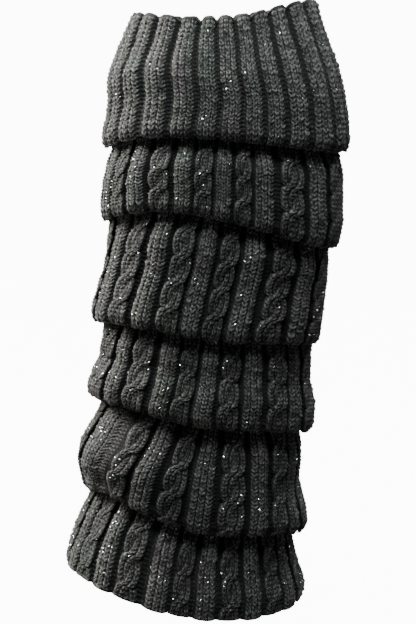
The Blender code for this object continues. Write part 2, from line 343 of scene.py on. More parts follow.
def right_side(stretch, across, form, scallops):
    """The side that shows, with single stitches, and what its yarn's fibres and thread need.

    The solid form comes first: rib heights times RIB_RISE, the ribs' rounded ends and a soft unrest. Each
    point is then pushed along the form's normal by its stitch: height across the stitch times height
    along its leg, or by the two arcs of a purl stitch, the lower one half a stitch aside. Where a stretch
    spreads, its valleys lose that share of their depth on the way down, and the painted shade on their
    bars gets paler. None is deeper than DEEPEST. Purl bars in narrow valleys and stitches at the foot of
    a rib get painted shade.
    """
    across, stitch_count = across
    sizes = each_size(stretch, COLUMNS, RIB_SIZES, 1)[np.rint(across.column).astype(int) % COLUMNS]
    full = np.clip(sizes * form, 0.0, TALLEST_RIB)[None, :]
    column, stitch = across.column[None, :], across.stitch[None, :]
    lines = fine_rows(stretch)[:, None]
    row = lines + (CHEVRON / 2 - CHEVRON * across.chevron) * chevron_fade(lines)
    spread = stretch.spread * ease(row / stretch.rows)
    sink = RIB_RISE * (1 - full) * (1 - spread) + soft_waves(stretch, column + UNREST_SHIFT, row, UNREST)
    points = on_knit(stretch, column, row, np.minimum(sink, DEEPEST))
    for end_row, size in scallops:
        near = 1 - ease(np.abs(lines - end_row) / SCALLOP_ROWS)
        points[..., 2] += size * near * (full - 0.5)
    normal = outward(points)
    line_number = np.rint(lines * LINES).astype(int)
    leg = np.array(LINE_HEIGHTS)[line_number % LINES]
    arc = np.abs(np.sin(np.pi * (stitch + 0.5 * (line_number % LINES == LINES - 1))))
    bars = np.array(PURL_HEIGHTS)[line_number % LINES] * (PURL_ENDS + (1 - PURL_ENDS) * arc)
    rows_here = line_number // LINES - line_number.min() // LINES
    sizes = each_size(stretch, (rows_here.max() + 1, stitch_count), STITCH_SIZES, 2)
    knit = across.height * leg * sizes[rows_here, stitch.astype(int)]
    push = np.where(across.purl > 0, PURL_RISE * bars - PURL_SINK, STITCH_RISE * knit - STITCH_SINK)
    points = points + normal * push[..., None]
    # Painted shade: bars in valleys and stitches at the foot of a rib are painted darker than the rib tops.
    shade = across.purl * (1 + VALLEY_SHADE_FADE * spread)
    crest = np.where(across.purl > 0, shade * bars, knit * (FOOT_LIGHT + (1 - FOOT_LIGHT) * full))
    note_tops(stretch, points, crest)
    return Side(points, crest, column, stitch + 0 * lines, lines + 0 * stitch, full)


def note_tops(stretch, points, crest):
    """Keeps the high points of a grid of stitches, with the way along the yarn and the way out of it.

    The first row and the last two, which hide in a fold or lie in a turn, give none.
    """
    high = tuple((np.argwhere(crest[LINES:-2 * LINES] > HIGH_CREST) + [LINES, 0]).T)
    down, along = np.gradient(points, axis=0)[high], np.gradient(points, axis=1)[high]
    out = np.cross(down, along)
    TOPS[stretch.node].append(np.stack([
        points[high],
        along / np.linalg.norm(along, axis=-1, keepdims=True),
        out / np.linalg.norm(out, axis=-1, keepdims=True)]))


def wrong_lines(stretch, side, rows):
    """The wrong side of the knit at a list of rows, with low ribs behind the valleys of the right side.

    Its bars are a sine without its sign, three of them to two rows and about three to a rib.
    """
    row = np.asarray(rows, float)[:, None]
    bars = WRONG_BARS * np.abs(np.sin(np.pi * row * 1.5 + side.column * 9))
    return on_knit(stretch, side.column, row, WALL_BACK + WRONG_RISE * (WRONG_MIDDLE - side.full) + bars)


def turned_under(stretch, angle):
    """The knit past the turn: up behind the stretch, over its end, down again and into the turn."""
    slit = (WALL_BACK + RETURN_BACK) / 2
    return np.concatenate([
        behind_lip(stretch, angle, LIP_RADIUS, 2 * LIP_RADIUS),
        behind_lip(stretch, angle, FOLD_CLIMB, 2 * LIP_RADIUS),
        behind_lip(stretch, angle, FOLD_CLIMB, RETURN_BACK),
        behind_lip(stretch, angle, LIP_RADIUS + CREASE_TOP, RETURN_BACK),
        behind_lip(stretch, angle, LIP_RADIUS + CREASE_BOTTOM, slit),
        behind_lip(stretch, angle, LIP_RADIUS + CREASE_TOP, WALL_BACK),
        behind_lip(stretch, angle, FOLD_CLIMB + HEAD_THICKNESS, WALL_BACK),
    ])


def grid_faces(lines, around, loop):
    """Quads of a grid closed round its columns, and from its last line to its first if it is a loop."""
    k = np.arange(lines if loop else lines - 1)[:, None]
    j = np.arange(around)[None, :]
    corners = ((k, j), (k + 1, j), (k + 1, j + 1), (k, j + 1))
    return np.stack([(a % lines) * around + b % around for a, b in corners], axis=-1).reshape(-1, 4)


def grid_uv(across, down):
    """The stitch and row numbers of each quad's corners. Both grids have a line and a column more."""
    uv = np.stack([across, down], axis=-1)
    return np.stack([uv[:-1, :-1], uv[1:, :-1], uv[1:, 1:], uv[:-1, 1:]], axis=2).reshape(-1, 4, 2)


def closed_wall(side, *rest):
    """A right side and the lines that follow it, as one loop: points, quads, stitch coordinates, crests."""
    points = np.concatenate([side.points, *rest])
    count, around = points.shape[:2]
    plain = count - len(side.points)
    stitch = np.vstack([side.stitch, np.repeat(side.stitch[-1:], plain + 1, axis=0)])
    stitch = np.hstack([stitch, stitch[:, :1] + np.ceil(stitch[:, -1:].max())])
    rows_on = np.arange(plain + 1)[:, None] * 2.0 + 2 + side.lines[-1, 0]
    down = np.vstack([side.lines, np.broadcast_to(rows_on, (plain + 1, around))])
    down = np.hstack([down, down[:, :1]])
    crest = np.vstack([side.crest, np.full((plain, around), PLAIN_CREST)])
    return points.reshape(-1, 3), grid_faces(count, around, True), grid_uv(stitch, down), crest.ravel()


def in_scene(name, data):
    """Puts a mesh, a light or a camera into the scene as an object."""
    thing = bpy.data.objects.new(name, data)
    bpy.context.scene.collection.objects.link(thing)
    return thing


def make_knit(name, parts, material):
    """One mesh from several grids, with its stitch coordinates as UVs and its crests as an attribute, which
    sets its painted shade.
    """
    points, quads, uvs, crests = zip(*parts)
    starts = np.cumsum([0] + [len(p) for p in points[:-1]])
    mesh = bpy.data.meshes.new(name)
    mesh.from_pydata(np.concatenate(points) * MM, [], np.concatenate([q + s for q, s in zip(quads, starts)]))
    layer = mesh.uv_layers.new(name="stitches")
    layer.data.foreach_set("uv", np.concatenate(uvs).ravel().astype(np.float32))
    crest = mesh.attributes.new("crest", "FLOAT", "POINT")
    crest.data.foreach_set("value", np.concatenate(crests).astype(np.float32))
    mesh.shade_smooth()
    mesh.materials.append(material)
    return in_scene(name, mesh)


def group_socket(group, name, kind, value=None, out=False):
    """Adds one named input or output to a shader group."""
    socket = group.interface.new_socket(
        name=name, in_out="OUTPUT" if out else "INPUT", socket_type="NodeSocket" + kind)
    if value is not None:
        socket.default_value = value


def spun_yarn():
    """Shader group of thick spun yarn: dark strands with painted light on their tops and painted shade in
    their grooves, faint dye patches and fibres.

    Color: the deep colour, which is painted shade, goes to the top colour, which is painted light, with the
    crest mask and a fibre noise that runs along the stitches, then the dye patches tint it. Height: the
    fibre noise and the twist of the strands.
    """
    group = bpy.data.node_groups.new("spun yarn", "ShaderNodeTree")
    group_socket(group, "Stitches", "Vector")
    group_socket(group, "Place", "Vector")
    group_socket(group, "Crest", "Float", 0.5)
    # Deep is the colour of the painted shade in the grooves, Top the colour of the painted light on the tops.
    group_socket(group, "Deep", "Color", (0.01, 0.01, 0.01, 1))
    group_socket(group, "Top", "Color", (0.06, 0.06, 0.06, 1))
    group_socket(group, "Color", "Color", out=True)
    group_socket(group, "Roughness", "Float", out=True)
    group_socket(group, "Height", "Float", out=True)
    nodes, links = group.nodes, group.links
    given, result = nodes.new("NodeGroupInput"), nodes.new("NodeGroupOutput")

    along = nodes.new("ShaderNodeMapping")
    along.inputs["Scale"].default_value = (5.0, 2.2, 1.0)
    along.inputs["Rotation"].default_value = (0.0, 0.0, 0.5)
    links.new(given.outputs["Stitches"], along.inputs["Vector"])
    fibres = nodes.new("ShaderNodeTexNoise")
    fibres.inputs["Scale"].default_value = 1.6
    fibres.inputs["Detail"].default_value = 5.0
    fibres.inputs["Roughness"].default_value = 0.7
    links.new(along.outputs["Vector"], fibres.inputs["Vector"])

    twist = nodes.new("ShaderNodeTexWave")
    twist.wave_type = "BANDS"
    twist.bands_direction = "DIAGONAL"
    twist.inputs["Scale"].default_value = 1.1
    twist.inputs["Distortion"].default_value = 2.0
    twist.inputs["Detail"].default_value = 2.0
    links.new(along.outputs["Vector"], twist.inputs["Vector"])

    height = nodes.new("ShaderNodeMath")
    height.operation = "MULTIPLY_ADD"
    links.new(twist.outputs["Fac"], height.inputs[0])
    height.inputs[1].default_value = 0.45
    links.new(fibres.outputs["Fac"], height.inputs[2])
    links.new(height.outputs["Value"], result.inputs["Height"])

    grain = nodes.new("ShaderNodeTexNoise")
    grain.inputs["Scale"].default_value = 850.0
    grain.inputs["Detail"].default_value = 2.0
    links.new(given.outputs["Place"], grain.inputs["Vector"])
    uneven = nodes.new("ShaderNodeMapRange")
    uneven.inputs["From Min"].default_value = 0.35
    uneven.inputs["From Max"].default_value = 0.65
    uneven.inputs["To Min"].default_value = 0.2
    uneven.inputs["To Max"].default_value = 1.6
    links.new(grain.outputs["Fac"], uneven.inputs["Value"])

    # Painted shade and light: the crest mask, broken up by the grain, mixes the deep colour into the top
    # colour.
    lit = nodes.new("ShaderNodeMath")
    lit.operation = "MULTIPLY"
    links.new(given.outputs["Crest"], lit.inputs[0])
    links.new(uneven.outputs["Result"], lit.inputs[1])
    contrast = nodes.new("ShaderNodeMapRange")
    contrast.inputs["From Min"].default_value = 0.15
    contrast.inputs["From Max"].default_value = 1.2
    links.new(lit.outputs["Value"], contrast.inputs["Value"])
    strand = nodes.new("ShaderNodeMix")
    strand.data_type = "RGBA"
    links.new(contrast.outputs["Result"], strand.inputs["Factor"])
    links.new(given.outputs["Deep"], strand.inputs["A"])
    links.new(given.outputs["Top"], strand.inputs["B"])

    patches = nodes.new("ShaderNodeTexNoise")
    patches.inputs["Scale"].default_value = 38.0
    patches.inputs["Detail"].default_value = 3.0
    links.new(given.outputs["Place"], patches.inputs["Vector"])
    dye = nodes.new("ShaderNodeValToRGB")
    tints = ((0.34, (0.9, 1.0, 0.95, 1)), (0.47, (1.0, 1.0, 1.0, 1)), (0.56, (0.98, 0.99, 1.02, 1)),
             (0.66, (1.06, 0.97, 1.03, 1)))
    while len(dye.color_ramp.elements) < len(tints):
        dye.color_ramp.elements.new(0.5)
    for stop, (position, color) in zip(dye.color_ramp.elements, tints):
        stop.position = position
        stop.color = color
    links.new(patches.outputs["Fac"], dye.inputs["Fac"])
    dyed = nodes.new("ShaderNodeMix")
    dyed.data_type = "RGBA"
    dyed.blend_type = "MULTIPLY"
    dyed.inputs["Factor"].default_value = 1.0
    links.new(strand.outputs["Result"], dyed.inputs["A"])
    links.new(dye.outputs["Color"], dyed.inputs["B"])
    links.new(dyed.outputs["Result"], result.inputs["Color"])

    dull = nodes.new("ShaderNodeMapRange")
    dull.inputs["To Min"].default_value = 0.95
    dull.inputs["To Max"].default_value = 0.74
    links.new(height.outputs["Value"], dull.inputs["Value"])
    links.new(dull.outputs["Result"], result.inputs["Roughness"])
    return group


def new_finish(name):
    """A new material, with its nodes, its links and its Principled shader."""
    material = bpy.data.materials.new(name)
    material.use_nodes = True
    nodes = material.node_tree.nodes
    return material, nodes, material.node_tree.links, nodes["Principled BSDF"]


def wool_material(name, yarn, deep, top, fuzz):
    """Charcoal yarn on a Principled shader: the yarn group drives it and paints shade into its grooves and
    light on its tops, and a sheen gives it its fuzz.
    """
    material, nodes, links, shader = new_finish(name)
    shader.inputs["Specular IOR Level"].default_value = 0.25
    shader.inputs["Sheen Weight"].default_value = fuzz
    shader.inputs["Sheen Roughness"].default_value = 0.45
    shader.inputs["Sheen Tint"].default_value = (0.75, 0.73, 0.7, 1)
    where = nodes.new("ShaderNodeTexCoord")
    stitches = nodes.new("ShaderNodeUVMap")
    stitches.uv_map = "stitches"
    crest = nodes.new("ShaderNodeAttribute")
    crest.attribute_name = "crest"
    strands = nodes.new("ShaderNodeGroup")
    strands.node_tree = yarn
    # deep and top are the colours of the painted shade in the grooves and the painted light on the tops.
    strands.inputs["Deep"].default_value = deep
    strands.inputs["Top"].default_value = top
    links.new(stitches.outputs["UV"], strands.inputs["Stitches"])
    links.new(where.outputs["Object"], strands.inputs["Place"])
    links.new(crest.outputs["Fac"], strands.inputs["Crest"])
    relief = nodes.new("ShaderNodeBump")
    relief.inputs["Strength"].default_value = 0.8
    relief.inputs["Distance"].default_value = 0.0004
    links.new(strands.outputs["Height"], relief.inputs["Height"])
    links.new(strands.outputs["Color"], shader.inputs["Base Color"])
    links.new(strands.outputs["Roughness"], shader.inputs["Roughness"])
    links.new(relief.outputs["Normal"], shader.inputs["Normal"])
    return material


def declare_knit(piece, node):
    """What every stretch of the tube does: it rides on the body, and its solid, which it replaces, is hidden.
    """
    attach(piece, "root")
    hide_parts(node)


YARN = spun_yarn()
# Its two colours are painted shade in the grooves of the yarn and painted light on its tops.
CHARCOAL = wool_material("charcoal wool", YARN, (0.003, 0.0035, 0.0035, 1), (0.165, 0.165, 0.158, 1), 0.07)
TOPS = defaultdict(list)    # high points of the stitches of each stretch, for the thread and the fibres

cuff_round = side_by_side([
    group for rib in range(COLUMNS)
    for group in (wales(rib - RIB_EDGE, rib + RIB_EDGE, 3), purl(rib + RIB_EDGE, rib + 1 - RIB_EDGE, 6, 2))])
cuff_form = rib_form((cuff_round[0].column + 0.5) % 1 - 0.5)
cuff_side = right_side(CUFF, cuff_round, cuff_form, [(0, RIM_SCALLOP)])
cuff_under = turned_under(CUFF, column_angle(pulled(CUFF, cuff_side.column, 1.0)))
inside_rows = np.concatenate([[HIDDEN_INSIDE], np.arange(SHOWN_INSIDE, 0, -WRONG_STEP)])
cuff_inside = wrong_lines(CUFF, cuff_side, inside_rows)
valley_depth = RIM_FLATTER * RIB_RISE * (1 - cuff_side.full)
rim_edge = np.concatenate([
    on_knit(CUFF, cuff_side.column, 0 * cuff_side.column - rise, sink + valley_depth)
    for rise, sink in RIM_ROUND])
rim_edge[..., 2] += RIM_SCALLOP * (cuff_side.full - 0.5)
top_cuff = make_knit("top_cuff_knit", [closed_wall(cuff_side, cuff_under, cuff_inside, rim_edge)], CHARCOAL)
declare_knit(top_cuff, "top_cuff")


# =====================================================================================================
# Fold tier 2. The first fold below the cuff, in the same yarn: ribs of three stitches and rope cables of
# two crossing strands in turn, with purl valleys between them. It hangs out of the turn behind the cuff.
# =====================================================================================================

TIER_2_LIP = Edge(-108.5, -96.0, -94.0, -106.0, -113.5, -108.5, -101.0, -103.0)
TIER_2 = Stretch(
    "fold_tier_2", CUFF, CUFF_LIP, TIER_2_LIP,
    (Reach(0.00, 62.9, 69.4), Reach(0.25, 65.4, 72.4), Reach(0.50, 66.6, 73.6),
     Reach(0.80, 67.2, 75.0), Reach(1.00, 67.4, 74.8)),
    rows=18, turn=0.0, twist=0.1, crossings=3.0, seed=22,
    pulls=(Pull(-5, -4.8), Pull(-4, -3.85), Pull(-3, -2.7), Pull(-1, -0.85), Pull(1, 0.8), Pull(2, 1.65),
           Pull(3, 2.9), Pull(4, 4.25)),
)

BED_EDGE = 0.5          # where the bed of a cable starts, in columns from the rib's middle
BED_RISE = 0.62         # height of that bed, as a share of RIB_RISE
STRAND_SWING = 0.205    # how far a cable's strands swing to each side, in columns
STRAND_HALF = 0.225     # half width of a strand, which is two stitches
STRAND_SPREAD = 0.45    # how much wider it is where it crosses
STRAND_SINK = 0.4       # how far its top lies below the ribs where the strands lie side by side
STRAND_LIFT = 0.38      # how far it rises or sinks where they cross
STRAND_DOME = 0.9       # height of the half ellipse whose middle part is the strand's round top
STRAND_ROUND = 0.8      # how much of its width that part takes, squared
STRAND_TILT = 0.35      # how far its outer edge stands over its middle where the strands lie side by side
STRAND_BACK = 1.3       # how far its hidden back lies below its lowest top
STRAND_BACK_HALF = 0.8  # half width of the back, as a share of the strand's
STRAND_PLACES = (0.0, 0.24, 0.5, 0.76)      # across one of its columns of stitches
STRAND_HEIGHTS = (0.0, 1.0, 0.66, 1.0)      # its two legs with the groove between them
STRAND_SIZES = 0.08     # how unlike the strands are in swing and width
STRAND_DRIFT = 0.3      # how far a strand's crossings drift for the same share, in radians
STRAND_STITCH_SIZES = 0.14      # how unlike their stitches are
STRAND_LIGHT = 0.75     # painted light: how pale a strand is painted where it lies beside the other one
STRAND_SHADOW = 0.2     # painted shadow: how much paler or darker it is painted where it crosses over or under it
NARROW_VALLEY = (3, 1)  # points and stitches across a valley
OPENED_VALLEY = (12, 2, 0.6)    # the same of one pulled open, and how pale its bars are painted: less painted shade than elsewhere
OPENED_WALES = 6        # columns of stitches of the rib beside it, which is as wide as two
OPENED_RISE = 0.45      # height of a valley that is pulled open, which is stretched nearly flat
HIDDEN_SHARES = np.linspace(0.6, 0.0, 8)    # shares of a fold's height with a line of its wrong side


def cable_strands(stretch):
    """The strands of a stretch's cables, each a closed tube of two columns of stitches.

    A strand's middle swings as a cosine down the rows, squared off by a root, and its height as the
    sine, so the strands pass over each other in turn, always from the same side, as in a rope. A strand is
    wider where it crosses. Its section is a low dome, tilted so that its outer edge is the higher one.
    """
    lines = fine_rows(stretch)[:, None]
    fade = chevron_fade(lines)
    fraction = np.append(np.tile(STRAND_PLACES, 2), 0.0)[None, :]
    wale = np.append(np.repeat([0, 1], len(STRAND_PLACES)), 2)[None, :]
    across = wale + fraction - 1
    legs = np.append(np.tile(STRAND_HEIGHTS, 2), 0.0)[None, :]
    chevron = np.abs(2 * fraction - 1)
    row = lines + (CHEVRON / 2 - CHEVRON * chevron) * fade
    line_number = np.rint(lines * LINES).astype(int)
    leg = np.array(LINE_HEIGHTS)[line_number % LINES]
    dome = STRAND_DOME * (1 - np.sqrt(1 - STRAND_ROUND * across ** 2))
    relief = dome - (STITCH_RISE * legs * leg - STITCH_SINK)
    back = STRAND_BACK_HALF * np.array([[1.0, 0.0, -1.0]])
    back_sink = STRAND_SINK + STRAND_LIFT + STRAND_BACK
    strands = []
    for number, cable in enumerate(np.repeat(np.arange(1, COLUMNS, 2), 2)):
        side = 1 if number % 2 else -1
        swell = each_size(stretch, 3, STRAND_SIZES, 100 + number)
        phase = np.pi * stretch.crossings * row / stretch.rows + STRAND_DRIFT * (swell[0] - 1)
        swing = np.sign(np.cos(phase)) * np.sqrt(np.abs(np.cos(phase)))
        middle = cable + side * STRAND_SWING * swell[1] * swing
        sink = STRAND_SINK - side * STRAND_LIFT * np.sin(phase) - STRAND_TILT * side * swing * across
        half = STRAND_HALF * swell[2] * (1 + STRAND_SPREAD * (1 - np.abs(swing)))
        columns = middle + across * half
        unrest = soft_waves(stretch, columns + UNREST_SHIFT, row, UNREST)
        top = on_knit(stretch, columns, row, sink + relief + unrest)
        back_columns = middle[:, :1] + back * STRAND_HALF
        deep = on_knit(stretch, back_columns, row[:, :1], back_sink)
        tube = np.concatenate([top, deep], axis=1)
        # Painted light and shadow: a strand is painted paler where it crosses over the other and darker under
        # it.
        strand_painted_light = np.clip(STRAND_LIGHT - STRAND_SHADOW * (sink - STRAND_SINK) / STRAND_LIFT, 0.0, 1.0)
        stitch_size = each_size(stretch, (lines.size // LINES + 1, 2), STRAND_STITCH_SIZES, 200 + number)
        size = stitch_size[line_number // LINES - line_number.min() // LINES, np.minimum(wale, 1)]
        crest = np.concatenate([legs * leg * strand_painted_light * size, 0.0 * lines + 0 * back], axis=1)
        note_tops(stretch, top, crest[:, :top.shape[1]])
        strands.append((tube, crest, wale + fraction, lines))
    return strands


def closed_tube(tube, crest, stitch, lines):
    """A strand as points, quads with both ends closed, stitch coordinates and crests."""
    count, around = tube.shape[:2]
    quads = grid_faces(count, around, False)
    first = np.arange(around // 2 - 1)
    start_cap = np.stack([first, first + 1, around - 2 - first, around - 1 - first], axis=-1)
    end_cap = start_cap[:, ::-1] + (count - 1) * around
    stitch = np.append(stitch[0], np.linspace(2.2, 3.8, around + 1 - stitch.shape[1]))[None, :] + 0 * lines
    uv = grid_uv(stitch, lines + 0 * stitch)
    quads = np.concatenate([quads, start_cap, end_cap])
    uv = np.concatenate([uv, np.zeros((2 * len(first), 4, 2))])
    return tube.reshape(-1, 3), quads, uv, crest.ravel()


def behind_above(stretch, angle):
    """The hidden head of a stretch: down its wrong side's end, over the return of the lip above, and in."""
    above = stretch.above
    seam = FOLD_CLIMB + HEAD_GAP
    inside = BEHIND_LIP + HEAD_THICKNESS
    return np.concatenate([
        behind_lip(above, angle, LIP_RADIUS, inside + RIB_RISE),
        behind_lip(above, angle, seam, inside),
        behind_lip(above, angle, seam + HEAD_THICKNESS, BEHIND_LIP),
        behind_lip(above, angle, seam + HEAD_THICKNESS, RETURN_BACK),
        behind_lip(above, angle, seam, RETURN_BACK),
        behind_lip(above, angle, seam, BEHIND_LIP),
    ])


def rib_and_cable_round(opened=None):
    """A round of ribs and cable beds in turn. In the one that is named, the next valley is pulled open."""
    groups = []
    for rib in range(0, COLUMNS, 2):
        stitches, valley = (OPENED_WALES, OPENED_VALLEY) if rib == opened else (3, NARROW_VALLEY)
        groups += [
            wales(rib - RIB_EDGE, rib + RIB_EDGE, stitches),
            purl(rib + RIB_EDGE, rib + BED_EDGE, *valley),
            purl(rib + BED_EDGE, rib + 2 - BED_EDGE, 8, 4),
            purl(rib + 2 - BED_EDGE, rib + 2 - RIB_EDGE, *NARROW_VALLEY),
        ]
    return side_by_side(groups)


def rib_and_cable_form(column, opened=None):
    """Ribs at the even columns, low, round beds of the cables at the odd ones, and an opened valley flat."""
    from_cable = (column % 2 - 1) / (1 - BED_EDGE)
    bed = BED_RISE * np.clip(1 - from_cable ** 2, 0.0, 1.0)
    form = np.maximum(rib_form((column + 1) % 2 - 1), bed)
    if opened is None:
        return form
    from_valley = (column - opened - (RIB_EDGE + BED_EDGE) / 2) / (BED_EDGE - RIB_EDGE)
    return np.maximum(form, OPENED_RISE * np.clip(1 - from_valley ** 4, 0.0, 1.0))


def ribs_and_cables(stretch, side, below, inside_rows):
    """A stretch with cables: its right side, what follows below it, its wrong side, head and cables."""
    inside = wrong_lines(stretch, side, inside_rows)
    at_top = pulled(stretch, side.column, 0.0) + stretch.turn - stretch.twist / 2
    head = behind_above(stretch, column_angle(at_top))
    strands = [closed_tube(*strand) for strand in cable_strands(stretch)]
    return make_knit(stretch.node + "_knit", [closed_wall(side, below, inside, head)] + strands, CHARCOAL)


def knit_fold(stretch, opened=None):
    """One fold, which turns under at its lip. In the one that is named, the next valley is pulled open."""
    across = rib_and_cable_round(opened)
    side = right_side(stretch, across, rib_and_cable_form(across[0].column, opened), [])
    at_lip = pulled(stretch, side.column, 1.0) + stretch.turn + stretch.twist / 2
    under = turned_under(stretch, column_angle(at_lip))
    return ribs_and_cables(stretch, side, under, HIDDEN_SHARES * stretch.rows)


fold_tier_2 = knit_fold(TIER_2)
declare_knit(fold_tier_2, "fold_tier_2")


# =====================================================================================================
# Fold tier 3. The second fold, the tallest of the upper ones, with four crossings in each cable. Its knit
# is the same, and it hangs out of the turn behind tier 2.
# =====================================================================================================

TIER_3_LIP = Edge(-168.5, -161.5, -163.0, -165.5, -172.0, -169.0, -166.0, -166.0)
TIER_3 = Stretch(
    "fold_tier_3", TIER_2, TIER_2_LIP, TIER_3_LIP,
    (Reach(0.00, 61.6, 67.6), Reach(0.25, 62.8, 68.6), Reach(0.50, 63.6, 67.8),
     Reach(0.80, 67.0, 67.6), Reach(1.00, 69.2, 67.6)),
    rows=24, turn=-0.5, twist=-0.35, crossings=4.0, seed=33,
    pulls=(Pull(-4, -4.8), Pull(-3, -3.45), Pull(-2, -2.25), Pull(-1, -1.05), Pull(0, -0.05), Pull(2, 2.05),
           Pull(3, 3.45), Pull(4, 4.9)),
)
fold_tier_3 = knit_fold(TIER_3)
declare_knit(fold_tier_3, "fold_tier_3")


# =====================================================================================================
# Fold tier 4. The third fold, the narrowest, where the tube lies on the shin. Its knit is the same, and
# it hangs out of the turn behind tier 3.
# =====================================================================================================

TIER_4_LIP = Edge(-213.5, -209.5, -213.5, -218.0, -226.0, -223.0, -217.0, -213.5)
TIER_4 = Stretch(
    "fold_tier_4", TIER_3, TIER_3_LIP, TIER_4_LIP,
    (Reach(0.00, 61.4, 61.8), Reach(0.25, 62.0, 63.2), Reach(0.50, 62.8, 63.8),
     Reach(0.80, 67.0, 67.4), Reach(1.00, 68.6, 68.2)),
    rows=19, turn=0.35, twist=-0.15, crossings=3.0, seed=44,
    pulls=(Pull(-4, -4.55), Pull(-3, -3.4), Pull(-2, -2.1), Pull(-1, -1.15), Pull(0, -0.15), Pull(2, 1.95),
           Pull(3, 3.2)),
)
fold_tier_4 = knit_fold(TIER_4)
declare_knit(fold_tier_4, "fold_tier_4")


# =====================================================================================================
# Fold tier 5. The fourth fold, which bulges out at the left, where one purl valley is pulled wide open.
# Its knit is the same, and it hangs out of the turn behind tier 4.
# =====================================================================================================

TIER_5_LIP = Edge(-272.0, -266.0, -276.0, -280.0, -289.0, -285.0, -279.0, -273.0)
TIER_5 = Stretch(
    "fold_tier_5", TIER_4, TIER_4_LIP, TIER_5_LIP,
    (Reach(0.00, 58.8, 60.4), Reach(0.30, 64.6, 62.6), Reach(0.60, 71.6, 63.2),
     Reach(0.80, 71.4, 66.0), Reach(1.00, 68.4, 69.2)),
    rows=23, turn=0.7, twist=-0.3, crossings=3.3, seed=55, hang=1.0,
    pulls=(Pull(-8, -9.3), Pull(-6, -7.85, -0.2), Pull(-5, -7.15, -0.4), Pull(-4.35, -6.45, -0.5),
           Pull(-4, -5.7, -0.6), Pull(-3.62, -4.95, -0.7), Pull(-3.5, -4.5, -0.75), Pull(-3, -3.85, -0.8),
           Pull(-2, -2.75, -0.6), Pull(-1, -1.45, -0.4), Pull(0, -0.3, -0.1), Pull(2, 2.35, 0.2),
           Pull(4, 4.6)),
)
OPENED = 24             # the rib at the left of the valley that is pulled open, four before the front's
fold_tier_5 = knit_fold(TIER_5, OPENED)
declare_knit(fold_tier_5, "fold_tier_5")


# =====================================================================================================
# Hem tier. The open lower end of the tube, widest at its cast-on hem, where the ribs end in low, round
# tips. Its knit is the same; it has no turn, and its wrong side shows from below.
# =====================================================================================================

HEM = Edge(-316.0, -317.5, -325.0, -327.5, -326.5, -324.5, -321.0, -317.0)
HEM_TIER = Stretch(
    "hem_tier", TIER_5, TIER_5_LIP, HEM,
    (Reach(0.00, 62.4, 60.8), Reach(0.25, 66.6, 62.4), Reach(0.50, 70.6, 65.2),
     Reach(0.80, 74.4, 70.2), Reach(1.00, 75.8, 71.2)),
    rows=19, turn=1.0, twist=-0.2, crossings=3.0, seed=66, spread=0.3,
    pulls=(Pull(-6, -6.5), Pull(-4, -4.5), Pull(-3, -3.4), Pull(-2, -2.0), Pull(-1, -1.05), Pull(0, 0.0)),
)
HEM_SCALLOP = 0.8       # how far the ribs hang below the valleys at the hem
HEM_ROUND = ((0.7, 0.5), (1.7, 0.9), (2.7, 0.9), (3.6, 0.4))    # inward places and drops of its rounding
HEM_FLATTER = 0.4       # share of the ribs' height that is left there
HEM_HIDDEN_ROWS = (3.0, 0.0)    # rows with a line of the wrong side, above those that show

hem_round = rib_and_cable_round()
hem_form = rib_and_cable_form(hem_round[0].column)
hem_side = right_side(HEM_TIER, hem_round, hem_form, [(HEM_TIER.rows, -HEM_SCALLOP)])
last_row = 0 * hem_side.column + HEM_TIER.rows
valley_depth = HEM_FLATTER * RIB_RISE * (1 - hem_side.full)
hem_edge = np.concatenate([
    on_knit(HEM_TIER, hem_side.column, last_row, sink + valley_depth) for sink, drop in HEM_ROUND])
hem_edge[..., 2] -= HEM_SCALLOP * (hem_side.full - 0.5) + np.array([[drop] for sink, drop in HEM_ROUND])
rows_below = np.arange(HEM_TIER.rows - 0.5, HEM_TIER.rows - SHOWN_INSIDE, -WRONG_STEP)
hem_tier = ribs_and_cables(HEM_TIER, hem_side, hem_edge, np.concatenate([rows_below, HEM_HIDDEN_ROWS]))
declare_knit(hem_tier, "hem_tier")


# =====================================================================================================
# Silver thread. A flat metallic thread that is knitted in along with the yarn, and shows as short bright
# pieces on the legs of the stitches. It is held by the stitches that it runs through.
# =====================================================================================================

FLECK = namedtuple("Fleck", "length width lift")(1.2, 0.27, 0.15)
FLECKS_IN = {"top_cuff": 380, "fold_tier_2": 480, "fold_tier_3": 800, "fold_tier_4": 800,
             "fold_tier_5": 1200, "hem_tier": 1100}


def fleck_points():
    """Short ribbons on the stitches' legs. Each has three cross lines, bowed and tilted by seeded turns."""
    rng = np.random.default_rng(7)
    ribbons = []
    for node, count in FLECKS_IN.items():
        tops = np.concatenate(TOPS[node], axis=1)
        top, along, out = tops[:, rng.choice(tops.shape[1], count, replace=False)]
        side = np.cross(out, along)
        tilt = rng.normal(0, 0.5, (count, 1))
        up = out * np.cos(tilt) + side * np.sin(tilt)
        across = side * np.cos(tilt) - out * np.sin(tilt)
        length = FLECK.length * rng.uniform(0.5, 1.2, (count, 1)) / 2
        half = FLECK.width * rng.uniform(0.6, 1.2, (count, 1)) / 2
        corners = []
        for step in (-1.0, 0.0, 1.0):
            spot = top + out * FLECK.lift + along * length * step - up * 0.16 * step ** 2
            corners += [spot - across * half, spot + across * half]
        ribbons.append(np.stack(corners, axis=1))
    return np.concatenate(ribbons)


def ribbon_mesh(name, ribbons, material):
    """One mesh from many ribbons of three cross lines, which are six corners each."""
    quads = np.array([[0, 1, 3, 2], [2, 3, 5, 4]])
    mesh = bpy.data.meshes.new(name)
    mesh.from_pydata(
        ribbons.reshape(-1, 3) * MM, [], (np.arange(len(ribbons))[:, None, None] * 6 + quads).reshape(-1, 4))
    mesh.materials.append(material)
    return in_scene(name, mesh)


